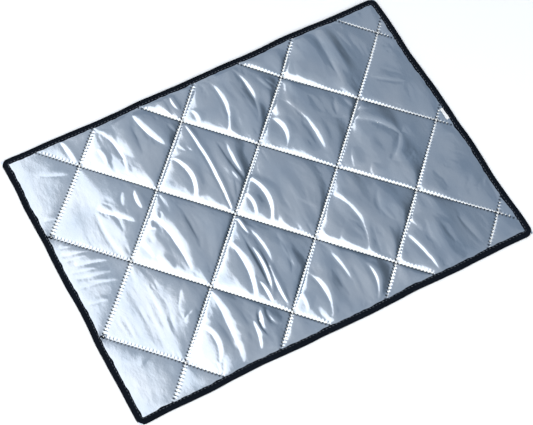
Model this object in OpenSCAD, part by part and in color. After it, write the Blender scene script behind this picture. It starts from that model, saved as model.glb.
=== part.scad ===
/* [Pad] */
// Length of the pad, along X
pad_l = 600; // [580:5:620]
// Width of the pad, along Y
pad_w = 443; // [430:1:456]
// Radius of the pad's outer corners
corner_r = 11; // [11:0.25:14]
// Height of the top surface at the middle of a puff
crown_z = 8; // [8:0.5:14]

/* [Layers] */
// Thickness of the foil-faced top cover and of the fabric bottom cover
cover_t = 0.3; // [0.2:0.05:0.3]
// Height of the top surface at the bottom of a quilting seam
seam_z = 2.4; // [2.25:0.05:2.45]
// Depth of the groove that the quilting pulls into the underside
groove_depth = 1.45; // [1.45:0.01:1.5]
// Width of that groove
groove_w = 24; // [18:1:30]

/* [Edge binding] */
// Width of the tape that shows on each face
tape_w = 9.5; // [9:0.25:10]
// Thickness of the tape
tape_t = 0.6; // [0.5:0.05:0.6]
// Thickness of the edge, with the tape folded round it
edge_h = 3.9; // [3.9:0.05:4.2]

/* [Quilting] */
// Distance along X from one diamond to the next
diamond_l = 160; // [158:1:164]
// Distance along Y from one diamond to the next
diamond_w = 169; // [165:1:172]
// X of the crossing that the pattern is laid out from
origin_x = -46; // [-50:1:-44]
// Y of that crossing
origin_y = -3; // [-5:1:0]
// Diameter of the quilting thread
thread_d = 0.8; // [0.6:0.05:0.8]
// Diameter of the thread that sews the binding on
tape_thread_d = 0.4; // [0.3:0.02:0.4]

/* [Care label] */
// Length of the label along the edge
label_l = 20; // [14:1:20]
// How far the label reaches out from under the tape
label_out = 5; // [3:0.5:5]

/* [Hidden] */
rows = 6;        // seams in each direction
first_row = -2;  // the first seam, counted from the origin crossing
$fn = 64;
arch_steps = 8;  // flats in the arch of a puff
slope_steps = 6; // flats in the slope at the edge

// Quilting: each family of seams is laid out along X and then turned by its angle
seam_angle = atan2(diamond_w, diamond_l);
rising = seam_angle - 90;
falling = 90 - seam_angle;
seam_gap = diamond_l * sin(seam_angle);  // between two seams, square across them
seam_length = 1000;                      // carries a seam past every edge
falling_lift = 0.6;                      // keeps the two families of arches apart at their crowns
crossing_gap = 1.5;                      // a falling thread stops this short of a rising seam
top_seat = 0.535 * thread_d;             // from a valley's bottom up to the middle of its thread
groove_seat = 0.51 * thread_d;           // from a groove's roof down to the middle of its thread
top_thread_z = seam_z + top_seat;
bobbin_thread_z = groove_depth - groove_seat;
thread_end = 1;                          // a row of stitches ends this far inside the layers' edge

// Edge: the tape is a U in section, and the layers fill its slot
wrap = 1.2;                              // from the outer edge in to the layers
nose = 1;                                // from the outer edge in to the tape's flat faces
slot_top = edge_h - tape_t;
rim_gap = 1;                             // from the tape's inner edge to the foot of the top's slope
ledge = tape_w + rim_gap;                // width of the flat rim of the top surface
edge_run = 34;                           // from the rim to where the edge stops shaping the top
edge_lift = 2.5;                         // height of the edge's slope above a puff's crown
step_gap = 0.3;                          // from the tape's inner edge to the step in the underside
step_in = tape_w + step_gap;
stitch_in = 7.5;                         // from the outer edge in to the binding's stitching
channel_w = tape_thread_d + 0.1;         // of the channel that keeps the lower row off the ground
channel_d = tape_thread_d + 0.01;
past = 1;                                // carries a cutting shape past what it cuts

// Label
label_t = 0.25;
label_tuck = 5;                          // how far the label goes under the tape

// 2D rectangle with round corners that lies inside the pad's outline by inset
module outline(inset) {
    r = corner_r - inset;
    square([pad_l - 2 * corner_r, pad_w - 2 * inset], center = true);
    square([pad_l - 2 * inset, pad_w - 2 * corner_r], center = true);
    for (x = [-1, 1], y = [-1, 1])
        translate([x * (pad_l / 2 - corner_r), y * (pad_w / 2 - corner_r)]) circle(r);
}

// Block of the pad's outline, from one height up to another
module block(inset, bottom, top) {
    translate([0, 0, bottom]) linear_extrude(top - bottom) outline(inset);
}

// Sweeps a 2D profile round the pad's edge; its X is measured from the middle of a corner
module around_edge() {
    for (turn = [0 : 3]) {
        length = turn % 2 == 0 ? pad_w : pad_l;
        across = turn % 2 == 0 ? pad_l : pad_w;
        rotate([0, 0, 90 * turn])
            translate([across / 2 - corner_r, 0, 0]) {
                rotate([90, 0, 0]) linear_extrude(length - 2 * corner_r, center = true) children();
                translate([0, length / 2 - corner_r, 0]) rotate_extrude(angle = 90) children();
            }
    }
}

// Extrudes a 2D profile, drawn across the seams, along one family of seams
module along_seams(angle) {
    translate([origin_x, origin_y, 0])
        rotate([0, 0, angle])
            rotate([90, 0, 0])
                linear_extrude(seam_length, center = true) children();
}

// Points from left to right along an arch that stands on the X axis from 0 to span
function arch(span, rise, steps) =
    let (r = (span * span / 4 + rise * rise) / (2 * rise), half = asin(span / 2 / r))
    [for (s = [0 : steps]) let (a = half * (2 * s / steps - 1))
        [span / 2 + r * sin(a), rise - r + r * cos(a)]];

// Everything under one family of seams and puffs: a row of arches whose feet are the seams
module under_puffs(angle, lift) {
    left = (first_row - 1) * seam_gap;
    right = (first_row + rows) * seam_gap;
    puff = arch(seam_gap, crown_z - seam_z + lift, arch_steps);
    tops = [for (x = [left : seam_gap : right - 1], s = [0 : arch_steps - 1]) puff[s] + [x, seam_z]];
    along_seams(angle) polygon(concat([[left, 0]], tops, [[right, seam_z], [right, 0]]));
}

// 2D section across the pad of what lies under its edge slopes
module edge_profile(width) {
    slope = arch(2 * edge_run, crown_z + edge_lift - slot_top, 2 * slope_steps);
    rim = [[-width / 2, 0], [-width / 2, slot_top]];
    left = concat(rim, [for (s = [0 : slope_steps]) slope[s] + [ledge - width / 2, slot_top]]);
    right = [for (s = [len(left) - 1 : -1 : 0]) [-left[s][0], left[s][1]]];
    polygon(concat(left, right));
}

// Everything below the pad's top surface, shifted up by shift
module below_top(shift) {
    translate([0, 0, shift])
        intersection() {
            under_puffs(rising, 0);
            under_puffs(falling, falling_lift);
            rotate([90, 0, 0]) linear_extrude(pad_w, center = true) edge_profile(pad_l);
            rotate([90, 0, 90]) linear_extrude(pad_l, center = true) edge_profile(pad_w);
        }
}

// The grooves of one family of seams, shifted up by skin
module grooves(angle, skin) {
    translate([0, 0, skin])
        along_seams(angle)
            for (i = [first_row : first_row + rows - 1])
                translate([i * seam_gap, 0])
                    polygon([[-groove_w / 2, 0], [0, groove_depth], [groove_w / 2, 0],
                             [groove_w / 2, -past], [-groove_w / 2, -past]]);
}

// Everything above the pad's underside, or above the inside of a skin on it
module above_bottom(skin) {
    top = crown_z + past;
    difference() {
        union() {
            block(wrap, tape_t + skin, top);
            block(step_in + skin, skin, top);
        }
        grooves(rising, skin);
        grooves(falling, skin);
    }
}

module top_cover() {
    color("silver")
        intersection() {
            difference() {
                below_top(0);
                below_top(-cover_t);
            }
            block(wrap, 0, crown_z + past);
        }
}

module foam_core() {
    color("ghostwhite")
        intersection() {
            below_top(-cover_t);
            above_bottom(cover_t);
        }
}

module bottom_cover() {
    color("dimgray")
        intersection() {
            difference() {
                above_bottom(0);
                above_bottom(cover_t);
            }
            block(wrap, 0, tape_t + groove_depth);
        }
}

// 2D section of the tape: a U with a rounded back, and a channel for the lower stitching
module tape_profile() {
    half = edge_h / 2;
    nose_r = (half * half + nose * nose) / (2 * nose);
    difference() {
        intersection() {
            union() {
                translate([corner_r - nose_r, half]) circle(nose_r);
                translate([corner_r - tape_w, 0]) square([tape_w - nose, edge_h]);
            }
            translate([corner_r - tape_w, 0]) square([tape_w, edge_h]);
        }
        translate([corner_r - tape_w - past, tape_t]) square([tape_w - wrap + past, slot_top - tape_t]);
        translate([corner_r - stitch_in - channel_w / 2, -past]) square([channel_w, channel_d + past]);
    }
}

module edge_binding() {
    color("black")
        difference() {
            around_edge() tape_profile();
            label_blank();
        }
}

module seam_thread(angle, i, z) {
    translate([0, 0, z])
        along_seams(angle)
            translate([i * seam_gap, 0]) circle(thread_d / 2);
}

// Leaves out a short stretch at each rising seam, where a falling row dips under the rising one
module crossings(bottom, top) {
    translate([0, 0, bottom])
        translate([origin_x, origin_y, 0])
            rotate([0, 0, rising])
                for (i = [first_row : first_row + rows - 1])
                    translate([i * seam_gap - crossing_gap, -seam_length / 2, 0])
                        cube([2 * crossing_gap, seam_length, top - bottom]);
}

module rising_thread(n, z) {
    color("gainsboro")
        intersection() {
            seam_thread(rising, first_row + n - 1, z);
            block(wrap + thread_end, 0, crown_z);
        }
}

module falling_thread(n, z) {
    color("gainsboro")
        difference() {
            intersection() {
                seam_thread(falling, first_row + n - 1, z);
                block(wrap + thread_end, 0, crown_z);
            }
            crossings(z - thread_d, z + thread_d);
        }
}

module binding_thread(z) {
    color("gray")
        around_edge()
            translate([corner_r - stitch_in, z]) circle(tape_thread_d / 2);
}

module label_blank() {
    intersection() {
        difference() {
            below_top(label_t);
            below_top(0);
        }
        translate([pad_l / 2 - tape_w - label_out, -label_l / 2, 0])
            cube([label_out + label_tuck, label_l, crown_z + past]);
    }
}

module care_label() {
    color("white") label_blank();
}

top_cover();
foam_core();
bottom_cover();
edge_binding();
for (i = [1 : rows]) {
    rising_thread(i, top_thread_z);
    falling_thread(i, top_thread_z);
    rising_thread(i, bobbin_thread_z);
    falling_thread(i, bobbin_thread_z);
}
binding_thread(edge_h + tape_thread_d / 2);  // binding_needle_thread
binding_thread(tape_thread_d / 2);  // binding_bobbin_thread
care_label();
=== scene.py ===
"""Looks of a quilted, foil-faced foam sleeping pad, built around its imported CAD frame.

Everything is in metres. X runs along the pad's long sides, Y along its short sides and Z up.
"""

import math

import bpy
import numpy as np
from mathutils import Matrix, Vector


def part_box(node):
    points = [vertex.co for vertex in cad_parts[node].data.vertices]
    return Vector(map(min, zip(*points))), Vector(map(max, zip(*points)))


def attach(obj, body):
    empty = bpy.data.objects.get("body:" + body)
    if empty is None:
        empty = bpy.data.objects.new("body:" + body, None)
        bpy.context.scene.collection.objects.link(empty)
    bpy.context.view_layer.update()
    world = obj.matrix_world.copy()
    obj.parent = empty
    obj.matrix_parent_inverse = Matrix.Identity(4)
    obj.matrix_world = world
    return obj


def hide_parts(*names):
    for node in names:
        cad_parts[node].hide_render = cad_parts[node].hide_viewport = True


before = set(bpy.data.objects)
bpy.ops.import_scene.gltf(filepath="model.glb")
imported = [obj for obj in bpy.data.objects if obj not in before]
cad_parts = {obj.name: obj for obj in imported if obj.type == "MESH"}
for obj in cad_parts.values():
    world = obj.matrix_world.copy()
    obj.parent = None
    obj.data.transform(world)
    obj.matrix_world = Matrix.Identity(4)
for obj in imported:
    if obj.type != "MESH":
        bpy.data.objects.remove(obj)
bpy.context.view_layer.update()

MM = 0.001

# ---------------------------------------------------------------- sizes from the CAD frame
PAD_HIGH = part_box("edge_binding")[1]
HALF_L, HALF_W, EDGE_H = PAD_HIGH[0], PAD_HIGH[1], PAD_HIGH[2]
COVER_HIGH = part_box("top_cover")[1]
COVER_L, COVER_W = COVER_HIGH[0], COVER_HIGH[1]
SEAM_Z = 2.4 * MM             # the cover's height at the bottom of a quilting seam
COVER_T = 0.3 * MM
TAPE_T = 0.6 * MM
TAPE_W = 9.5 * MM             # how far the tape reaches in over the layers
CORNER_R = 11 * MM
LEDGE_Z = EDGE_H - TAPE_T     # the cover's height inside the tape
STITCH_IN = 7.5 * MM          # from the outer edge in to the binding's stitching
GROOVE_Z = 1.45 * MM          # the underside's height at a quilting seam

# The diamonds: one crossing, and half a diamond's length and width
CROSS_X, CROSS_Y = -46 * MM, -3 * MM
HALF_DX, HALF_DY = 80 * MM, 84.5 * MM
SIDE = math.hypot(HALF_DX, HALF_DY)              # of a diamond
SEAM_GAP = 2 * HALF_DX * HALF_DY / SIDE          # square across, from seam to seam
STITCHES = 23                                    # on one side of a diamond
PITCH = SIDE / STITCHES
STEPS = 3                                        # of the cover's mesh to a stitch
CLOTH_STEPS = 30                                 # of the simulated mesh to a diamond's side


# ---------------------------------------------------------------- unevenness
SEAM_BOW = 1.7 * MM           # how far the falling seams stray to either side of straight
BOW_LENGTH = 720 * MM         # along X, of one whole wave of that bow
BOW_AT = -290 * MM            # where they stray furthest to the upper right
RISING_STRAY = 0.25 * MM      # the rising seams lie this far to the lower right
RISING_TURN = 0.0145          # and this much further for each unit of Y
EDGE_STRAY = 1 * MM           # size of the waves in the four outer edges
EDGE_WAVES = (430 * MM, 230 * MM, 120 * MM)      # and their lengths


def edge_wave(at, seed):
    """How far one outer edge strays outwards: slow waves along it, whose starts are seeded."""
    starts = np.random.default_rng(seed).random(len(EDGE_WAVES))
    waves = sum(np.sin(2 * math.pi * (at / length + start)) for length, start in zip(EDGE_WAVES, starts))
    return EDGE_STRAY * waves / math.sqrt(len(EDGE_WAVES))


def uneven(points):
    """Moves points in X and Y, as hand-guided sewing does: the seams and the four edges stray a little."""
    x, y = points[:, 0], points[:, 1]
    falling = SEAM_BOW * np.cos(2 * math.pi * (x - BOW_AT) / BOW_LENGTH)
    rising = RISING_STRAY + RISING_TURN * y
    inner_x = (rising + falling) * SIDE / (2 * HALF_DY)
    inner_y = (falling - rising) * SIDE / (2 * HALF_DX)
    right, upper = np.clip(x / HALF_L, -1, 1), np.clip(y / HALF_W, -1, 1)
    edge_x = np.where(right < 0, -edge_wave(y, 1), edge_wave(y, 2)) * np.abs(right)
    edge_y = np.where(upper < 0, -edge_wave(x, 3), edge_wave(x, 4)) * np.abs(upper)
    inside_x = np.clip((HALF_L - TAPE_W - np.abs(x)) / (50 * MM), 0, 1)
    inside_y = np.clip((HALF_W - TAPE_W - np.abs(y)) / (50 * MM), 0, 1)
    on_pad = (np.abs(x) < 1.1 * HALF_L) & (np.abs(y) < 1.1 * HALF_W)
    moved = points.copy()
    moved[:, 0] += np.where(on_pad, inner_x * inside_x + edge_x * (1 - inside_x), 0)
    moved[:, 1] += np.where(on_pad, inner_y * inside_y + edge_y * (1 - inside_y), 0)
    return moved


# ---------------------------------------------------------------- helpers: meshes
def make_mesh(name, points, faces, smooth=True):
    """A mesh object from points and faces, with the pad's unevenness put into its points."""
    points = uneven(np.asarray(points, float))
    mesh = bpy.data.meshes.new(name)
    faces = np.asarray(faces, np.int32)
    count, sides = faces.shape
    mesh.vertices.add(len(points))
    mesh.vertices.foreach_set("co", np.asarray(points, np.float32).ravel())
    mesh.loops.add(count * sides)
    mesh.loops.foreach_set("vertex_index", faces.ravel())
    mesh.polygons.add(count)
    mesh.polygons.foreach_set("loop_start", np.arange(count, dtype=np.int32) * sides)
    mesh.update(calc_edges=True)
    mesh.polygons.foreach_set("use_smooth", [smooth] * count)
    mesh.validate()
    obj = bpy.data.objects.new(name, mesh)
    bpy.context.scene.collection.objects.link(obj)
    return obj


def piece(obj, material, slot, *nodes):
    obj.data.materials.append(material)
    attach(obj, "root")
    if nodes:
        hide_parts(*nodes)
    return obj


def grid_faces(rows, columns, closed_rows=False, closed_columns=False):
    """Quads of a grid of points, whose rows or columns may close on themselves."""
    r = np.arange(rows if closed_rows else rows - 1)
    c = np.arange(columns if closed_columns else columns - 1)
    r, c = (a.ravel() for a in np.meshgrid(r, c, indexing="ij"))
    r1, c1 = (r + 1) % rows, (c + 1) % columns
    return np.stack([r * columns + c, r * columns + c1, r1 * columns + c1, r1 * columns + c], 1)


# ---------------------------------------------------------------- the quilting pattern
def to_seam(count):
    """Distance to the nearest seam of a family, given how many of its seams lie before a point."""
    return np.abs(count - np.round(count)) * SEAM_GAP


def pattern(x, y):
    """Where a point lies among the seams: the distance to the nearest falling and rising seam, and how
    far along each it is, counted in diamond sides from the crossing."""
    a, b = (x - CROSS_X) / (2 * HALF_DX), (y - CROSS_Y) / (2 * HALF_DY)
    across_falling, across_rising = a + b, a - b
    return to_seam(across_falling), to_seam(across_rising), across_rising, across_falling


def pattern_grid(steps, half_l, half_w):
    """A grid whose diagonals are the seams' directions, with `steps` diagonals to a diamond's side."""
    dx, dy = HALF_DX / steps, HALF_DY / steps
    i = np.arange(math.ceil((-half_l - CROSS_X) / dx), math.floor((half_l - CROSS_X) / dx) + 1)
    j = np.arange(math.ceil((-half_w - CROSS_Y) / dy), math.floor((half_w - CROSS_Y) / dy) + 1)
    return np.meshgrid(CROSS_X + i * dx, CROSS_Y + j * dy)


def from_rim(x, y, inset):
    """Distance in from the line that lies `inset` inside the pad's outline."""
    return np.minimum(HALF_L - inset - np.abs(x), HALF_W - inset - np.abs(y))


def ease(t):
    """A smooth step from 0 to 1."""
    return t * t * (3 - 2 * t)


def swell(distance, near=1.8 * MM, far=8.5 * MM, share=0.28):
    """How fully the foam stands up at this distance from a seam: quickly at first, then slowly."""
    return share * (1 - np.exp(-distance / near)) + (1 - share) * (1 - np.exp(-distance / far))


PUFF = 4.1 * MM               # height of a puff above its seams
RIM_IN = 10 * MM              # from the outer edge in to where the puffs begin
RIM_RUN = 10 * MM             # over which the edge of a puff comes down to the tape
CROSSING_DIP = 0.5 * MM       # how much deeper the film lies where two seams cross
CROSSING_RUN = 5 * MM         # and how far that dip reaches
LEFT_END = -230 * MM          # to the left of this the puffs are at their flattest
LEFT_RUN = 90 * MM            # over which they reach their full height
LEFT_LOSS = 0.75              # share of their height that they lack at the left end
RIGHT_END = 260 * MM          # the same three at the right end
RIGHT_RUN = 80 * MM
RIGHT_LOSS = 0.7


def tautness(x):
    """How high the puffs stand: they are flatter at the pad's two ends."""
    left = np.clip((x - LEFT_END) / LEFT_RUN, 0, 1)
    right = np.clip((RIGHT_END - x) / RIGHT_RUN, 0, 1)
    return 1 - LEFT_LOSS * ease(1 - left) - RIGHT_LOSS * ease(1 - right)


def puffs(x, y):
    falling, rising, _, _ = pattern(x, y)
    rim = from_rim(x, y, RIM_IN)
    crossing = np.exp(-(falling ** 2 + rising ** 2) / CROSSING_RUN ** 2)
    z = SEAM_Z + PUFF * tautness(x) * swell(falling) * swell(rising) - CROSSING_DIP * crossing
    stand = 1 - np.exp(-np.clip(rim, 0, None) / RIM_RUN)
    return np.where(rim <= 0, LEDGE_Z, LEDGE_Z + (z - LEDGE_Z) * stand)


# The folds in the film, in mm: from x, y to x, y, the bow to the left of that way, width, height.
# Each has a steep side on the right of its way and a gentle one on the left.
FOLDS = [
    # along the top edge
    (-214, 213, -209, 170, 1, 5, 0.7), (-43, 212, -41, 180, -3, 4, 0.7),
    # the top row of diamonds
    (-158, 204, -152, 122, 11, 9, 0.8), (-174, 178, -172, 148, 3, 5, 0.4),
    (-136, 208, -138, 120, 0, 14, 0.4),
    (-104, 208, -80, 136, -3, 11, 1.7), (-66, 170, -61, 153, 0, 4, 0.4),
    (17, 206, 4, 116, 12, 6, 1.0), (-27, 175, -28, 148, 4, 5, 0.6), (57, 208, 55, 118, 9, 6, 0.9),
    (81, 180, 92, 152, 0, 5, 0.6), (91, 172, 99, 156, 0, 4, 0.4),
    (193, 202, 187, 108, 2, 10, 0.9), (221, 196, 230, 158, 0, 8, 0.3), (141, 178, 134, 150, 0, 7, 0.3),
    # the second row
    (-216, 92, -171, 47, 2, 9, 0.9), (-153, 97, -157, 62, -3, 6, 0.8), (-170, 100, -180, 78, 0, 6, 0.4),
    (-85, 117, -86, 40, 13, 7, 1.4), (-46, 163, -48, 0, 5, 4, 1.1), (-6, 108, -7, 38, -2, 6, 0.8),
    (-21, 60, -17, 38, 0, 4, 0.5), (-70, 132, -62, 116, 0, 4, 0.3), (-60, 126, -54, 112, 0, 4, 0.3),
    (94, 138, 112, 26, 12, 9, 1.1), (67, 114, 67, 58, 11, 6, 0.9), (164, 97, 155, 70, 0, 6, 0.4),
    (175, 90, 180, 72, 0, 4, 0.4), (146, 71, 168, 61, 0, 5, 0.3),
    (226, 106, 267, 75, 0, 6, 0.6), (252, 142, 282, 132, 0, 6, 0.25),
    # the middle row
    (-148, 54, -137, -56, 8, 14, 1.6), (-160, 46, -143, 36, 0, 4, 0.5), (-166, 34, -152, 24, 0, 4, 0.4),
    (-186, 25, -176, -14, 3, 6, 0.4), (-172, -14, -168, -48, 3, 6, 0.5),
    (-5, 42, -8, -40, 14, 8, 1.5), (-20, 20, -22, -20, 5, 5, 0.8), (14, -16, 2, -52, 0, 9, 0.5),
    (40, 5, 35, -62, 4, 11, 0.5), (20, 62, 12, 28, 0, 8, 0.35),
    (172, 55, 218, 2, 8, 9, 1.4), (218, 4, 186, -32, 6, 8, 1.2), (180, 72, 197, 59, 0, 5, 0.4),
    (147, 14, 134, -16, 0, 7, 0.7), (160, -22, 150, -36, 0, 6, 0.6),
    (-286, 48, -244, 37, 2, 6, 0.6), (-284, 38, -256, 34, 1, 4, 0.3), (-276, 26, -232, 14, 2, 6, 0.6),
    (-284, 18, -252, 10, 1, 4, 0.3), (-282, 8, -238, -2, 0, 6, 0.5), (-284, -8, -246, -14, 1, 4, 0.35),
    (-284, 60, -262, 54, 1, 4, 0.3), (-284, -36, -258, -40, 1, 4, 0.3), (-284, 108, -264, 104, 1, 4, 0.25),
    (-262, 178, -220, 160, 0, 7, 0.4), (-270, -4, -232, -20, 0, 5, 0.3), (250, -20, 286, -34, 0, 7, 0.25),
    # the fourth row
    (-73, -40, -80, -133, 9, 8, 1.7), (-65, -112, -63, -147, 2, 4, 0.9), (-48, -6, -45, -42, 0, 3.5, 0.8),
    (-50, -60, -58, -138, 5, 4, 1.0), (-42, -26, -36, -98, 6, 8, 0.9), (-41, -92, -46, -158, -2, 3.5, 1.0),
    (-8, -56, -11, -116, -2, 7, 0.7),
    (-190, -42, -176, -130, -14, 18, 0.4), (-156, -66, -180, -102, 0, 8, 0.4),
    (-160, -108, -182, -118, 0, 5, 0.4),
    (86, -34, 89, -142, 18, 9, 1.1), (86, -84, 60, -112, 0, 7, 0.3), (150, -58, 150, -124, -12, 7, 0.5),
    (111, -120, 104, -152, 0, 5, 0.4), (214, -66, 288, -74, 0, 8, 0.25), (236, -126, 290, -114, 0, 6, 0.3),
    # the bottom row
    (-166, -132, -163, -190, 11, 6, 0.7), (-128, -98, -136, -212, 5, 12, 1.2),
    (-80, -146, -92, -180, -2, 6, 1.1),
    (-75, -152, -72, -180, -2, 5, 1.0), (-99, -160, -108, -202, 3, 6, 0.9),
    (-262, -150, -236, -136, 0, 6, 0.25),
    (-1, -128, -1, -204, 11, 7, 0.9), (-28, -148, -28, -182, 5, 5, 0.5), (41, -116, 47, -168, 3, 5, 0.5),
    (77, -154, 66, -208, 8, 7, 1.3),
    (147, -138, 161, -212, 3, 7, 1.2), (162, -120, 168, -148, 1, 6, 0.6),
    (201, -98, 202, -196, 0, 10, 0.4),
    (224, -150, 232, -194, 2, 9, 0.3),
    # the shaded folds, whose steep sides face right
    (-13, 42, -20, 112, 3, 6, 0.7), (-34, 20, -24, 48, 0, 4, 0.4), (-57, -125, -55, -28, 0, 4, 0.6),
    (-22, -122, -14, -62, -4, 6, 0.6), (-47, -130, -44, -70, 0, 3, 0.4), (-57, 172, -56, 208, 0, 6, 0.6),
    (48, 110, 44, 190, 0, 9, 0.5), (-209, -128, -207, -44, -8, 16, 0.45),
    (-170, 126, -166, 192, 0, 8, 0.3),
    (-198, 30, -198, 130, 4, 12, 0.3), (-162, 26, -154, 50, -3, 5, 0.3),
    (-160, -44, -160, 20, -4, 9, 0.35),
    (-148, -200, -150, -128, -6, 9, 0.35), (-118, -190, -116, -120, -5, 10, 0.4),
    (-118, -30, -120, 60, -4, 12, 0.5),
    (40, -20, 58, -48, 0, 5, 0.3), (-122, 140, -118, 196, 0, 9, 0.6), (-92, -190, -88, -148, 5, 4, 0.6),
]


# The section of a fold. Its reach is how far its crest spreads, and the other lengths are shares of that
FOLD_REACH = 0.6              # share of the fold's width
FOLD_TIP = 0.55               # share of that reach which is left at the fold's two tips
FOLD_SHIFT = 0.8              # from the fold's line to its crest
FOLD_STEEP = 1.6              # length of the steep side
FOLD_GENTLE = 2.4             # length of the gentle side
DIP_AT, DIP_RUN = 2, 1.2      # the dip at the foot of the steep side
DIP_DEPTH = 0.3               # share of the fold's height


def fold(x, y, x0, y0, x1, y1, bow, width, height):
    """Height that one fold adds to the film."""
    length = math.hypot(x1 - x0, y1 - y0)
    way_x, way_y = (x1 - x0) / length, (y1 - y0) / length
    dx, dy = x - (x0 + x1) / 2, y - (y0 + y1) / 2
    along = (dx * way_x + dy * way_y) / (length / 2)
    taper = np.clip(1 - along * along, 0, 1)
    reach = FOLD_REACH * width * (FOLD_TIP + (1 - FOLD_TIP) * taper)
    across = dy * way_x - dx * way_y - bow * (1 - along * along) - FOLD_SHIFT * reach
    steep = 1 - np.clip(across / (FOLD_STEEP * reach), -1, 0) ** 2
    gentle = np.exp(-(across / (FOLD_GENTLE * reach)) ** 2)
    dip = DIP_DEPTH * np.exp(-((across / reach + DIP_AT) / DIP_RUN) ** 2)
    return height * taper ** 0.8 * (np.where(across < 0, steep, gentle) - dip)


def soft_noise(x, y, across, along, seed):
    """Smooth seeded noise between about -1 and 1, whose bumps are `across` wide in X and `along` in Y."""
    rng = np.random.default_rng(seed)
    knots = rng.uniform(-1, 1, (64, 64))
    u, v = x / across + 32, y / along + 32
    i, j = np.floor(u).astype(int), np.floor(v).astype(int)
    s, t = ease(u - i), ease(v - j)
    lower = knots[j % 64, i % 64] * (1 - s) + knots[j % 64, (i + 1) % 64] * s
    upper = knots[(j + 1) % 64, i % 64] * (1 - s) + knots[(j + 1) % 64, (i + 1) % 64] * s
    return lower * (1 - t) + upper * t


SLACK = 0.3 * MM              # size of the film's broad undulation on the left
MORE_SLACK = 0.8 * MM         # and how much it grows to the right
SLACK_FROM = -130 * MM        # where it starts to grow
SLACK_RUN = 180 * MM          # over what length it grows
FINE_SLACK = 0.08 * MM        # size of the finer undulation on it


def slack(x, y):
    """Broad, soft undulation of the film, mostly in streaks that run along Y, and slighter on the left."""
    bent = x + 10 * MM * soft_noise(x, y, 60 * MM, 60 * MM, 4)
    broad = SLACK + MORE_SLACK * np.clip((x - SLACK_FROM) / SLACK_RUN, 0, 1)
    return tautness(x) * (broad * soft_noise(bent, y, 17 * MM, 52 * MM, 21)
                          + FINE_SLACK * soft_noise(bent, y, 6 * MM, 16 * MM, 22))


def folded_cover(x, y):
    """The film's height before the cloth simulation: the puffs with the folds on them."""
    falling, rising, _, _ = pattern(x, y)
    free = (1 - np.exp(-(falling / (5 * MM)) ** 2)) * (1 - np.exp(-(rising / (5 * MM)) ** 2))
    free = free * np.clip(from_rim(x, y, RIM_IN) / (4 * MM), 0, 1)
    height = sum(fold(x, y, *(v * MM for v in row)) for row in FOLDS) + slack(x, y)
    return puffs(x, y) + height * free


# ---------------------------------------------------------------- the top cover's cloth simulation
def relax(x, y, z):
    """Lets Blender's Cloth settle the film, which was cut a little larger than the space it has. The seams
    and the rim are sewn down, and the foam under the rest holds it softly. Returns how far points moved."""
    rows, columns = x.shape
    start = np.stack([x, y, z], -1).reshape(-1, 3)
    film = make_mesh("film_sim", start, grid_faces(rows, columns))
    start = uneven(start)
    film.shape_key_add(name="sewn")
    cut = film.shape_key_add(name="cut")
    spare = np.array([1.018, 1.004, 1.0])
    cut.data.foreach_set("co", (start * spare).astype(np.float32).ravel())
    cut.value = 0
    falling, rising, _, _ = pattern(x, y)
    sewn = ((falling < 0.01 * MM) | (rising < 0.01 * MM) | (from_rim(x, y, RIM_IN) < 0)).ravel()
    held = film.vertex_groups.new(name="held")
    held.add(np.nonzero(sewn)[0].tolist(), 1.0, "REPLACE")
    held.add(np.nonzero(~sewn)[0].tolist(), 0.1, "REPLACE")
    cloth = film.modifiers.new("cloth", "CLOTH")
    settings = cloth.settings
    settings.quality = 5
    settings.mass = 0.15
    settings.tension_stiffness, settings.compression_stiffness = 80, 40
    settings.shear_stiffness, settings.bending_stiffness = 20, 0.15
    settings.tension_damping, settings.compression_damping = 10, 10
    settings.shear_damping, settings.bending_damping = 5, 0.5
    settings.use_pressure = True
    settings.uniform_pressure_force = 2
    settings.vertex_group_mass = "held"
    settings.pin_stiffness = 1
    settings.rest_shape_key = cut
    settings.effector_weights.gravity = 0
    frames, cap = 12, 4 * MM
    cloth.point_cache.frame_end = frames
    for number in range(1, frames + 1):
        bpy.context.scene.frame_set(number)
    settled = film.evaluated_get(bpy.context.evaluated_depsgraph_get()).data
    points = np.empty(len(settled.vertices) * 3, np.float32)
    settled.vertices.foreach_get("co", points)
    moved = np.clip(points.reshape(-1, 3) - start, -cap, cap)
    mesh = film.data
    bpy.data.objects.remove(film)
    bpy.data.meshes.remove(mesh)
    bpy.context.scene.frame_set(1)
    return moved.reshape(rows, columns, 3)


def cubic_rows(values, at):
    """Rows of `values` at fractional row numbers, by Catmull-Rom interpolation."""
    base = np.clip(np.floor(at).astype(int), 0, len(values) - 2)
    t = (at - base)[:, None, None]
    row = lambda k: values[np.clip(base + k, 0, len(values) - 1)]
    a, b, c, d = row(-1), row(0), row(1), row(2)
    return b + 0.5 * t * (c - a + t * (2 * a - 5 * b + 4 * c - d + t * (3 * (b - c) + d - a)))


def resample(values, coarse, fine):
    """Moves a grid of values from one pattern grid to a finer one."""
    (cx, cy), (fx, fy) = coarse, fine
    row_at = (fy[:, 0] - cy[0, 0]) / (cy[1, 0] - cy[0, 0])
    column_at = (fx[0] - cx[0, 0]) / (cx[0, 1] - cx[0, 0])
    by_rows = cubic_rows(values, np.clip(row_at, 0, len(cy) - 1))
    by_columns = cubic_rows(by_rows.transpose(1, 0, 2), np.clip(column_at, 0, cx.shape[1] - 1))
    return by_columns.transpose(1, 0, 2)


# ---------------------------------------------------------------- the layers
def needle_pleats(x, y):
    """Small pleats that the stitches pull into the film on both sides of a seam."""
    falling, rising, along_falling, along_rising = pattern(x, y)
    teeth = lambda d, along: np.exp(-(d / (2.2 * MM)) ** 2) * np.cos(2 * math.pi * STITCHES * along)
    gathers = teeth(falling, along_falling) + teeth(rising, along_rising)
    return -0.55 * MM * gathers * np.clip(from_rim(x, y, RIM_IN) / (6 * MM), 0, 1)


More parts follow.
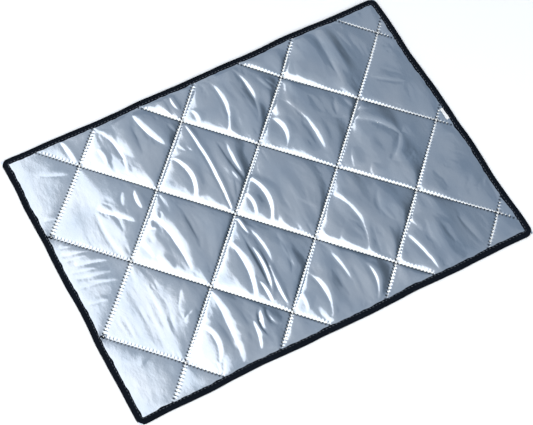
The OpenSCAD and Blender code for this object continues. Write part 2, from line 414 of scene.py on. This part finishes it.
def build_top_cover():
    fine = pattern_grid(STITCHES * STEPS, COVER_L, COVER_W)
    x, y = fine
    points = np.stack([x, y, folded_cover(x, y)], -1)
    coarse = pattern_grid(CLOTH_STEPS, COVER_L, COVER_W)
    moved = relax(*coarse, folded_cover(*coarse))
    points = points + resample(moved, coarse, fine)
    points[..., 2] += needle_pleats(x, y)
    rows, columns = x.shape
    falling, rising, _, _ = pattern(x, y)
    quads = grid_faces(rows, columns)
    middle = lambda d: d.ravel()[quads].sum(1)
    rises = middle(rising) < middle(falling)
    a, b, c, d = quads.T
    first = np.where(rises[:, None], np.stack([a, b, c], 1), np.stack([a, b, d], 1))
    second = np.where(rises[:, None], np.stack([a, c, d], 1), np.stack([b, c, d], 1))
    cover = make_mesh("foil_top_cover", points.reshape(-1, 3), np.concatenate([first, second]))
    a, b = (x - CROSS_X) / (2 * HALF_DX), (y - CROSS_Y) / (2 * HALF_DY)
    sewing = cover.data.attributes.new("sewing", "FLOAT_VECTOR", "POINT")
    sewing.data.foreach_set("vector", np.stack([a + b, a - b, 0 * a], -1).astype(np.float32).ravel())
    return cover, points


def underside(x, y):
    """Height of the pad's lower face: flat where it lies, with a soft groove at each seam."""
    falling, rising, _, _ = pattern(x, y)
    groove = lambda d: np.exp(-(d / (4.5 * MM)) ** 2) + 0.25 * np.exp(-d / (9 * MM))
    lift = GROOVE_Z * np.clip(np.maximum(groove(falling), groove(rising)), 0, 1)
    tucked = np.clip((TAPE_W + 1 * MM - from_rim(x, y, 0)) / (1 * MM), 0, 1)
    return lift + tucked * np.clip(TAPE_T - lift, 0, None)


def build_bottom_cover():
    x, y = pattern_grid(STITCHES, COVER_L, COVER_W)
    rows, columns = x.shape
    points = np.stack([x, y, underside(x, y)], -1).reshape(-1, 3)
    return make_mesh("fabric_bottom_cover", points, grid_faces(rows, columns)[:, ::-1])


def build_foam(cover_points):
    """The foam sheet, whose faces lie just inside the two covers."""
    top = cover_points[::STEPS, ::STEPS].copy()
    rows, columns = top.shape[:2]
    top[..., 2] -= COVER_T
    bottom = top.copy()
    bottom[..., 2] = np.minimum(underside(top[..., 0], top[..., 1]) + 0.5 * COVER_T, top[..., 2] - 0.1 * MM)
    points = np.concatenate([top.reshape(-1, 3), bottom.reshape(-1, 3)])
    faces = grid_faces(rows, columns)
    count = rows * columns
    number = np.arange(count).reshape(rows, columns)
    ring = np.concatenate([number[0, :-1], number[:-1, -1], number[-1, :0:-1], number[:0:-1, 0]])
    after = np.roll(ring, -1)
    sides = np.stack([ring, ring + count, after + count, after], 1)
    return make_mesh("foam_sheet", points, np.concatenate([faces, faces[:, ::-1] + count, sides]))


# ---------------------------------------------------------------- threads
def grains(starts, ends, radius, rise, slant, name):
    """A row of stitches: each is a plump, two-ply grain that arches from one needle hole to the next.
    rise is how far its middle stands above its ends, and slant how far it turns across the row. radius may
    be given for each stitch."""
    rings, sides = 9, 8
    t = np.linspace(0, 1, rings)
    round_ = np.arange(sides) * 2 * math.pi / sides
    starts, ends = np.asarray(starts, float), np.asarray(ends, float)
    way = ends - starts
    way[:, 2] = 0
    way /= np.linalg.norm(way, axis=1, keepdims=True)
    across = np.stack([-way[:, 1], way[:, 0], np.zeros(len(way))], 1)
    up = np.array([0.0, 0.0, 1.0])
    middle = starts[:, None] + (ends - starts)[:, None] * (0.15 + 0.7 * t)[None, :, None]
    middle = middle + up * (rise * np.sin(math.pi * t))[None, :, None]
    middle = middle + across[:, None] * (slant * np.cos(math.pi * t))[None, :, None]
    plump = np.sqrt(np.sin(math.pi * (0.03 + 0.94 * t)))
    ply = 1 + 0.2 * np.cos(2 * (round_[None, :] - 2.2 * math.pi * t[:, None]))
    size = (plump[:, None] * ply)[None] * np.broadcast_to(radius, len(starts))[:, None, None]
    points = (middle[:, :, None]
              + across[:, None, None] * (size * np.cos(round_))[..., None]
              + up * (0.75 * size * np.sin(round_))[..., None])
    one = grid_faces(rings, sides, closed_columns=True)
    each = np.arange(len(starts)) * rings * sides
    faces = (one[None] + each[:, None, None]).reshape(-1, 4)
    caps = []
    for ring in (0, rings - 1):
        corner = ring * sides + np.arange(sides)
        corner = corner if ring else corner[::-1]
        for k in (1, 3, 5):
            caps.append(corner[[0, k, k + 1, (k + 2) % sides]])
    faces = np.concatenate([faces, (np.array(caps)[None] + each[:, None, None]).reshape(-1, 4)])
    return make_mesh(name, points.reshape(-1, 3), faces)


def seam_holes(family, row):
    """The needle holes of one seam, in order. family is 1 for rising seams and -1 for falling ones."""
    step_x, step_y = HALF_DX / STITCHES, family * HALF_DY / STITCHES
    start_x = CROSS_X + (row - 3) * 2 * HALF_DX
    k = np.arange(-6 * STITCHES, 6 * STITCHES)
    x, y = start_x + k * step_x, CROSS_Y + k * step_y
    inside = from_rim(x, y, TAPE_W - 2 * MM) > 0
    return x[inside], y[inside]


STITCH_R = 0.78 * MM          # thickness of a needle stitch, from its middle
THIN_FROM = 270 * MM          # beyond this the needle stitches are thinner
THIN_RUN = 6 * MM             # over which they thin


def build_seam_threads(material):
    for family, word in ((1, "rising"), (-1, "falling")):
        for row in range(1, 7):
            x, y = seam_holes(family, row)
            falling, rising, _, _ = pattern(x, y)
            crossed = np.exp(-(np.maximum(falling, rising) / (4.5 * MM)) ** 2)
            holes = np.stack([x, y, SEAM_Z - 0.2 * MM - CROSSING_DIP * crossed], 1)
            at_end = np.clip((x[1:] - THIN_FROM) / THIN_RUN, 0, 1)
            small = np.maximum(np.maximum(crossed[:-1], crossed[1:]), at_end)
            plump = STITCH_R * (1 - 0.6 * small)
            name = f"{word}_needle_stitches_{row}"
            upper = grains(holes[:-1], holes[1:], plump, 0.7 * MM, 0.9 * MM, name)
            holes[:, 2] = GROOVE_Z + 0.1 * MM
            name = f"{word}_bobbin_stitches_{row}"
            lower = grains(holes[:-1], holes[1:], 0.5 * MM, -0.75 * MM, 0.3 * MM, name)
            piece(upper, material, "quilting_thread", f"{word}_needle_thread_{row}")
            piece(lower, material, "quilting_thread", f"{word}_bobbin_thread_{row}")


# ---------------------------------------------------------------- the binding
def edge_path(inset, spacing):
    """Points round the pad's outline, `inset` inside it, with the outward direction at each."""
    half_x, half_y = HALF_L - CORNER_R, HALF_W - CORNER_R
    radius = CORNER_R - inset
    points, normals = [], []
    turn_steps = max(3, int(round(math.pi / 2 * CORNER_R / spacing)))
    for quarter in range(4):
        c, s = (1, 0, -1, 0)[quarter], (0, 1, 0, -1)[quarter]
        run, depth = (half_y, half_x) if quarter % 2 == 0 else (half_x, half_y)
        out, way = np.array([c, s]), np.array([-s, c])
        steps = int(round(2 * run / spacing))
        for k in range(steps):
            points.append(out * (depth + radius) + way * (-run + 2 * run * k / steps))
            normals.append(out)
        centre = out * depth + way * run
        for k in range(turn_steps):
            angle = math.pi / 2 * k / turn_steps
            direction = out * math.cos(angle) + way * math.sin(angle)
            points.append(centre + direction * radius)
            normals.append(direction)
    return np.array(points), np.array(normals)


def wobble(points, seed, size, lengths):
    """Slow, seeded waviness along a closed path: a few sines whose wavelengths are near `lengths`."""
    step = np.linalg.norm(np.roll(points, -1, 0) - points, axis=1)
    along = np.concatenate([[0], np.cumsum(step)[:-1]])
    total = step.sum()
    rng = np.random.default_rng(seed)
    wave = sum(np.sin(2 * math.pi * (max(1, round(total / length)) * along / total + rng.random()))
               for length in lengths)
    return size * wave / math.sqrt(len(lengths))


def tape_section():
    """The folded tape in section: distance in from the outer edge, and height, all the way round."""
    half = EDGE_H / 2
    nose = [(1.5 * MM - 1.5 * MM * math.cos(a), half + half * math.sin(a))
            for a in np.radians(np.linspace(75, -75, 9))]
    top = [(TAPE_W, LEDGE_Z + 0.25 * MM), (TAPE_W - 0.25 * MM, EDGE_H - 0.05 * MM),
           (TAPE_W - 0.8 * MM, EDGE_H), (STITCH_IN + 0.7 * MM, EDGE_H - 0.05 * MM),
           (STITCH_IN, EDGE_H - 0.3 * MM),
           (STITCH_IN - 0.9 * MM, EDGE_H), (4.8 * MM, EDGE_H + 0.15 * MM), (2.6 * MM, EDGE_H + 0.05 * MM)]
    bottom = [(2.6 * MM, 0), (STITCH_IN - 0.5 * MM, 0), (STITCH_IN, 0.2 * MM), (STITCH_IN + 0.5 * MM, 0),
              (TAPE_W - 0.3 * MM, 0), (TAPE_W, 0.2 * MM), (TAPE_W, TAPE_T)]
    slot = [(3 * MM, TAPE_T), (1.3 * MM, 1.2 * MM), (1.3 * MM, LEDGE_Z - 0.5 * MM), (3 * MM, LEDGE_Z),
            (TAPE_W, LEDGE_Z)]
    return np.array(top + nose + bottom + slot)


def build_binding(material):
    path, out = edge_path(0, 1.3 * MM)
    sway = wobble(path, 3, 0.2 * MM, (0.11, 0.073, 0.047))
    lip = wobble(path, 8, 0.5 * MM, (0.062, 0.041, 0.027, 0.016))
    lip = lip + wobble(path, 9, 0.12 * MM, (PITCH, 2.3 * PITCH))
    lift = wobble(path, 11, 0.1 * MM, (0.05, 0.021, PITCH))
    section = tape_section()
    inward, z = section[:, 0], section[:, 1]
    inner = np.clip((inward - STITCH_IN) / (TAPE_W - STITCH_IN), 0, 1)
    reach = inward[None] + inner[None] * lip[:, None]
    xy = path[:, None] - out[:, None] * reach[:, :, None] + out[:, None] * sway[:, None, None]
    height = z[None] + np.where(z > EDGE_H / 2, 1, 0)[None] * np.clip(lift, 0, None)[:, None]
    points = np.concatenate([xy, height[..., None]], -1)
    faces = grid_faces(len(path), len(section), closed_rows=True, closed_columns=True)
    obj = make_mesh("edge_tape", points.reshape(-1, 3), faces)
    return piece(obj, material, "binding_tape", "edge_binding")


def build_binding_stitches(material):
    path, out = edge_path(STITCH_IN, PITCH)
    rows = (("binding_needle_stitches", EDGE_H - 0.25 * MM, 0.45 * MM, "binding_needle_thread"),
            ("binding_bobbin_stitches", 0.35 * MM, -0.1 * MM, "binding_bobbin_thread"))
    for name, z, rise, node in rows:
        holes = np.concatenate([path, np.full((len(path), 1), z)], 1)
        ends = np.roll(holes, -1, 0)
        gap = 0.14 * (ends - holes)
        radius = 0.3 * MM if rise > 0 else 0.22 * MM
        obj = grains(holes + gap, ends - gap, radius, rise, 0.08 * MM, name)
        piece(obj, material, "binding_thread", node)


# ---------------------------------------------------------------- the label
def build_label(material, cover_points):
    """A blank satin tab, sewn in under the tape. It lies on the cover and its free edge lifts a little."""
    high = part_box("care_label")[1]
    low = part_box("care_label")[0]
    xs = np.linspace(low[0] + 0.5 * MM, high[0], 15)
    ys = np.linspace(low[1], high[1], 25)
    x, y = np.meshgrid(xs, ys)
    free = np.clip((HALF_L - TAPE_W - x) / (5 * MM), 0, 1)
    curl = 0.5 * MM * free ** 2 * (1 + 0.4 * np.sin(y / (4 * MM)))
    on_cover = np.maximum(puffs(x, y) - 0.1 * MM, LEDGE_Z)
    z = np.where(x > HALF_L - TAPE_W - 0.3 * MM, LEDGE_Z + 0.05 * MM, on_cover + 0.3 * MM) + curl
    points = np.stack([x, y, z], -1).reshape(-1, 3)
    obj = make_mesh("blank_label", points, grid_faces(*x.shape))
    thick = obj.modifiers.new("thickness", "SOLIDIFY")
    thick.thickness = 0.2 * MM
    thick.offset = 1
    return piece(obj, material, "label_fabric", "care_label")


# ---------------------------------------------------------------- materials
HOLE_ASIDE = 2.0 * MM         # the shade of a needle hole lies this far to the left of its seam
HOLE_AHEAD = 1.3 * MM         # and this far along it from the hole
HOLE_R = 1.6 * MM
CROSSING_R = 3.2 * MM         # of the shade at a crossing of two seams


class Nodes:
    """A short way to build a node material round one Principled shader."""

    def __init__(self, name, **values):
        self.material = bpy.data.materials.new(name)
        self.material.use_nodes = True
        self.tree = self.material.node_tree
        self.shader = self.tree.nodes["Principled BSDF"]
        for key, value in values.items():
            self.shader.inputs[key.replace("_", " ")].default_value = value

    def add(self, kind, inputs=(), **settings):
        node = self.tree.nodes.new(kind)
        for key, value in settings.items():
            setattr(node, key, value)
        for key, value in dict(inputs).items():
            if isinstance(value, bpy.types.NodeSocket):
                self.tree.links.new(value, node.inputs[key])
            else:
                node.inputs[key].default_value = value
        return node

    def link(self, output, socket):
        self.tree.links.new(output, self.shader.inputs[socket])

    def place(self, scale=(1, 1, 1), turn=0.0):
        coordinates = self.add("ShaderNodeTexCoord")
        return self.add("ShaderNodeMapping", {"Vector": coordinates.outputs["Object"], "Scale": scale,
                                              "Rotation": (0, 0, turn)}).outputs["Vector"]

    def noise(self, vector, scale, detail=2.0, roughness=0.5):
        return self.add("ShaderNodeTexNoise", {"Vector": vector, "Scale": scale, "Detail": detail,
                                               "Roughness": roughness}).outputs["Fac"]

    def span(self, value, low, high, to_low, to_high):
        return self.add("ShaderNodeMapRange", {"Value": value, "From Min": low, "From Max": high,
                                               "To Min": to_low, "To Max": to_high}).outputs["Result"]

    def mix(self, factor, a, b):
        node = self.add("ShaderNodeMix", data_type="RGBA")
        for socket, value in (("Factor_Float", factor), ("A_Color", a), ("B_Color", b)):
            target = next(s for s in node.inputs if s.identifier == socket)
            if isinstance(value, bpy.types.NodeSocket):
                self.tree.links.new(value, target)
            else:
                target.default_value = value
        return next(s for s in node.outputs if s.identifier == "Result_Color")

    def math(self, operation, a, b):
        return self.add("ShaderNodeMath", {0: a, 1: b}, operation=operation).outputs[0]

    def offset(self, value):
        """How far a value is from the nearest whole number."""
        return self.math("SUBTRACT", value, self.math("ROUND", value, 0))

    def bump(self, height, strength, distance, normal=None):
        inputs = {"Height": height, "Strength": strength, "Distance": distance}
        if normal is not None:
            inputs["Normal"] = normal
        return self.add("ShaderNodeBump", inputs).outputs["Normal"]


def foil_film():
    """Aluminised film: a satin metal skin with fine crinkles and faint handling marks."""
    m = Nodes("foil_film", Metallic=1.0, Roughness=0.17)
    long_way = m.place(scale=(1.6, 1, 1))
    tint = m.noise(long_way, 14, 3)
    colour = m.mix(m.span(tint, 0.35, 0.65, 0, 1), (0.67, 0.74, 0.82, 1), (0.80, 0.84, 0.89, 1))
    # painted shade: the film's colour is darkened beside each needle hole and where two seams cross
    m.link(m.mix(needle_shade(m), colour, (0.02, 0.025, 0.035, 1)), "Base Color")
    m.link(m.span(m.noise(m.place(), 45, 4), 0.3, 0.7, 0.10, 0.15), "Roughness")
    soft = m.bump(m.noise(long_way, 60, 2), 0.12, 1.2 * MM)
    m.link(m.bump(m.noise(m.place(scale=(1.5, 1, 1)), 420, 2), 0.15, 0.12 * MM, soft), "Normal")
    return m.material


def needle_shade(m):
    """How deep a point of the film lies in the painted shade of a needle hole or of a crossing, from 0 to
    1. The pattern comes from the mesh's sewing coordinates: how many seams of each family lie to its left."""
    at = m.add("ShaderNodeAttribute", attribute_name="sewing").outputs["Vector"]
    parts = m.add("ShaderNodeSeparateXYZ", {"Vector": at})

    def spot(u, v, r):
        squares = m.math("ADD", m.math("MULTIPLY", u, u), m.math("MULTIPLY", v, v))
        return m.math("EXPONENT", m.math("MULTIPLY", squares, -1 / (r * r)), 0)

    gaps, shades = [], []
    for across, along, ahead_by in (("X", "Y", HOLE_AHEAD), ("Y", "X", -HOLE_AHEAD)):
        gap = m.math("MULTIPLY", m.offset(parts.outputs[across]), SEAM_GAP)
        hole = m.math("MULTIPLY", m.offset(m.math("MULTIPLY", parts.outputs[along], STITCHES)), PITCH)
        gaps.append(gap)
        shades.append(spot(m.math("ADD", gap, HOLE_ASIDE), m.math("SUBTRACT", hole, ahead_by), HOLE_R))
    shades.append(spot(*gaps, CROSSING_R))
    return m.math("MINIMUM", m.math("ADD", m.math("ADD", *shades[:2]), shades[2]), 1)


def woven(name, dark, light, pitch, turn=0.0, sheen=0.3, roughness=0.85, ribs=0.5, shine=0.4):
    """Plain woven cloth: two crossed sets of yarns, with uneven colour."""
    m = Nodes(name, Roughness=roughness, Sheen_Weight=sheen, Specular_IOR_Level=shine)
    at = m.place(turn=turn)
    scale = 1 / pitch / 20 * 2 * math.pi
    waves = [m.add("ShaderNodeTexWave", {"Vector": at, "Scale": scale, "Distortion": 0.3},
                   bands_direction=axis).outputs["Fac"] for axis in ("X", "Y")]
    weave = m.math("ADD", m.math("MULTIPLY", waves[0], ribs), m.math("MULTIPLY", waves[1], 1 - ribs))
    blotches = m.noise(m.place(), 70, 3)
    share = m.math("ADD", m.math("MULTIPLY", weave, 0.6), m.math("MULTIPLY", blotches, 0.4))
    m.link(m.mix(m.span(share, 0.25, 0.75, 0, 1), dark, light), "Base Color")
    m.link(m.bump(weave, 0.6, 0.25 * MM), "Normal")
    return m.material


def twisted_thread(name, dark, light, roughness=0.45):
    m = Nodes(name, Roughness=roughness, Sheen_Weight=0.3)
    fibres = m.noise(m.place(), 1400, 2)
    m.link(m.mix(m.span(fibres, 0.35, 0.65, 0, 1), dark, light), "Base Color")
    m.link(m.bump(fibres, 0.3, 0.1 * MM), "Normal")
    return m.material


def open_foam():
    m = Nodes("foam", Base_Color=(0.85, 0.85, 0.82, 1), Roughness=0.95)
    cells = m.add("ShaderNodeTexVoronoi", {"Vector": m.place(), "Scale": 700}).outputs["Distance"]
    m.link(m.mix(cells, (0.72, 0.72, 0.68, 1), (0.9, 0.9, 0.87, 1)), "Base Color")
    m.link(m.bump(cells, 0.5, 0.3 * MM), "Normal")
    return m.material


# ---------------------------------------------------------------- the pad
def build_pad():
    film = foil_film()
    tape = woven("binding_tape", (0.001, 0.002, 0.004, 1), (0.006, 0.009, 0.015, 1), 0.9 * MM,
                 sheen=0.02, shine=0.06)
    backing = woven("backing_fabric", (0.02, 0.022, 0.028, 1), (0.06, 0.065, 0.08, 1), 0.8 * MM, sheen=0.2)
    quilting = twisted_thread("quilting_thread", (0.78, 0.8, 0.83, 1), (0.95, 0.96, 0.97, 1))
    sewing = twisted_thread("binding_thread", (0.05, 0.06, 0.08, 1), (0.16, 0.18, 0.21, 1))
    satin = woven("label_fabric", (0.8, 0.8, 0.8, 1), (0.93, 0.93, 0.93, 1), 0.5 * MM, roughness=0.5)

    cover, cover_points = build_top_cover()
    piece(cover, film, "foil_film", "top_cover")
    bottom = piece(build_bottom_cover(), backing, "backing_fabric", "bottom_cover")
    foam = piece(build_foam(cover_points), open_foam(), "foam", "foam_core")
    binding = build_binding(tape)
    build_binding_stitches(sewing)
    build_seam_threads(quilting)
    label = build_label(satin, cover_points)


# ---------------------------------------------------------------- floor, light and camera
def aim(obj, target, roll=0.0):
    towards = Vector(target) - obj.location
    turn = towards.to_track_quat("-Z", "Y").to_matrix() @ Matrix.Rotation(roll, 3, "Z")
    obj.rotation_euler = turn.to_euler()


def build_floor():
    corners = [(-6, -6, 0), (6, -6, 0), (6, 6, 0), (-6, 6, 0)]
    floor = make_mesh("floor", corners, [(0, 1, 2, 3)], smooth=False)
    m = Nodes("floor", Roughness=0.9)
    grain = m.noise(m.place(), 3, 2)
    m.link(m.mix(grain, (0.9, 0.9, 0.9, 1), (0.92, 0.92, 0.92, 1)), "Base Color")
    floor.data.materials.append(m.material)
    floor.location.z = -0.2 * MM


# The room's glow, from its left side (-1) to its right side (1), as brightness and colour
GLOW = (
    (-1.00, 0.45, (0.90, 0.99, 1.10)), (-0.30, 0.38, (0.85, 0.98, 1.15)), (0.30, 0.33, (0.81, 0.97, 1.19)),
    (0.46, 0.29, (0.78, 0.97, 1.22)), (0.65, 0.14, (0.75, 0.97, 1.24)), (1.00, 0.08, (0.75, 0.97, 1.24)),
)
# Softboxes overhead that all start far to the left: where each ends on its right, and its radiance
BOX_Z, BOX_LEFT, BOX_NEAR, BOX_FAR = 1.6, -2.8, -1.2, 2.2
OVERHEAD = (
    (0.95, 0.06), (0.60, 0.05), (0.35, 0.04), (0.14, 0.03),
    (0.03, 0.36), (-0.03, 0.34), (-0.20, 0.20), (-0.34, 0.40),
)


def softbox(name, place, size, radiance):
    data = bpy.data.lights.new(name, "AREA")
    data.shape = "RECTANGLE"
    data.size, data.size_y = size
    data.energy = radiance * math.pi * size[0] * size[1]
    box = bpy.data.objects.new(name, data)
    box.location = place
    bpy.context.scene.collection.objects.link(box)
    return box


def build_light():
    """Soft light from overhead on the left, in layers that blend its edge, and more from the front."""
    for number, (right, radiance) in enumerate(OVERHEAD):
        place = ((BOX_LEFT + right) / 2, (BOX_NEAR + BOX_FAR) / 2, BOX_Z + 0.02 * number)
        softbox(f"overhead_{number + 1}", place, (right - BOX_LEFT, BOX_FAR - BOX_NEAR), radiance)
    front = softbox("front", (0.3, -2.2, 2.0), (3.0, 2.5), 3.6)
    aim(front, (0, 0, 0))
    front.visible_glossy = False

    world = bpy.data.worlds.new("room")
    bpy.context.scene.world = world
    world.use_nodes = True
    tree = world.node_tree
    background = tree.nodes["Background"]
    coordinates = tree.nodes.new("ShaderNodeTexCoord")
    split = tree.nodes.new("ShaderNodeSeparateXYZ")
    tree.links.new(coordinates.outputs["Generated"], split.inputs[0])
    place = tree.nodes.new("ShaderNodeMapRange")
    place.inputs["From Min"].default_value = -1
    tree.links.new(split.outputs["X"], place.inputs["Value"])
    ramp = tree.nodes.new("ShaderNodeValToRGB")
    brightest = max(brightness for _, brightness, _ in GLOW)
    stops = ramp.color_ramp.elements
    for number, (side, brightness, colour) in enumerate(GLOW):
        stop = stops[number] if number < 2 else stops.new(1)
        stop.position = (side + 1) / 2
        stop.color = [min(brightness / brightest * c, 1) for c in colour] + [1]
    tree.links.new(place.outputs["Result"], ramp.inputs["Fac"])
    tree.links.new(ramp.outputs["Color"], background.inputs["Color"])
    background.inputs["Strength"].default_value = brightest
    bpy.context.scene.view_settings.view_transform = "Standard"


def build_camera():
    data = bpy.data.cameras.new("camera")
    data.sensor_width = 36
    data.lens = 118.7
    data.clip_end = 50
    camera = bpy.data.objects.new("camera", data)
    camera.location = (-0.553, -1.0283, 2.1276)
    aim(camera, (-0.0082, -0.0214, 0.002), roll=math.radians(0.45))
    bpy.context.scene.collection.objects.link(camera)
    bpy.context.scene.camera = camera


build_camera()
build_light()
build_floor()
build_pad()

bpy.context.view_layer.update()
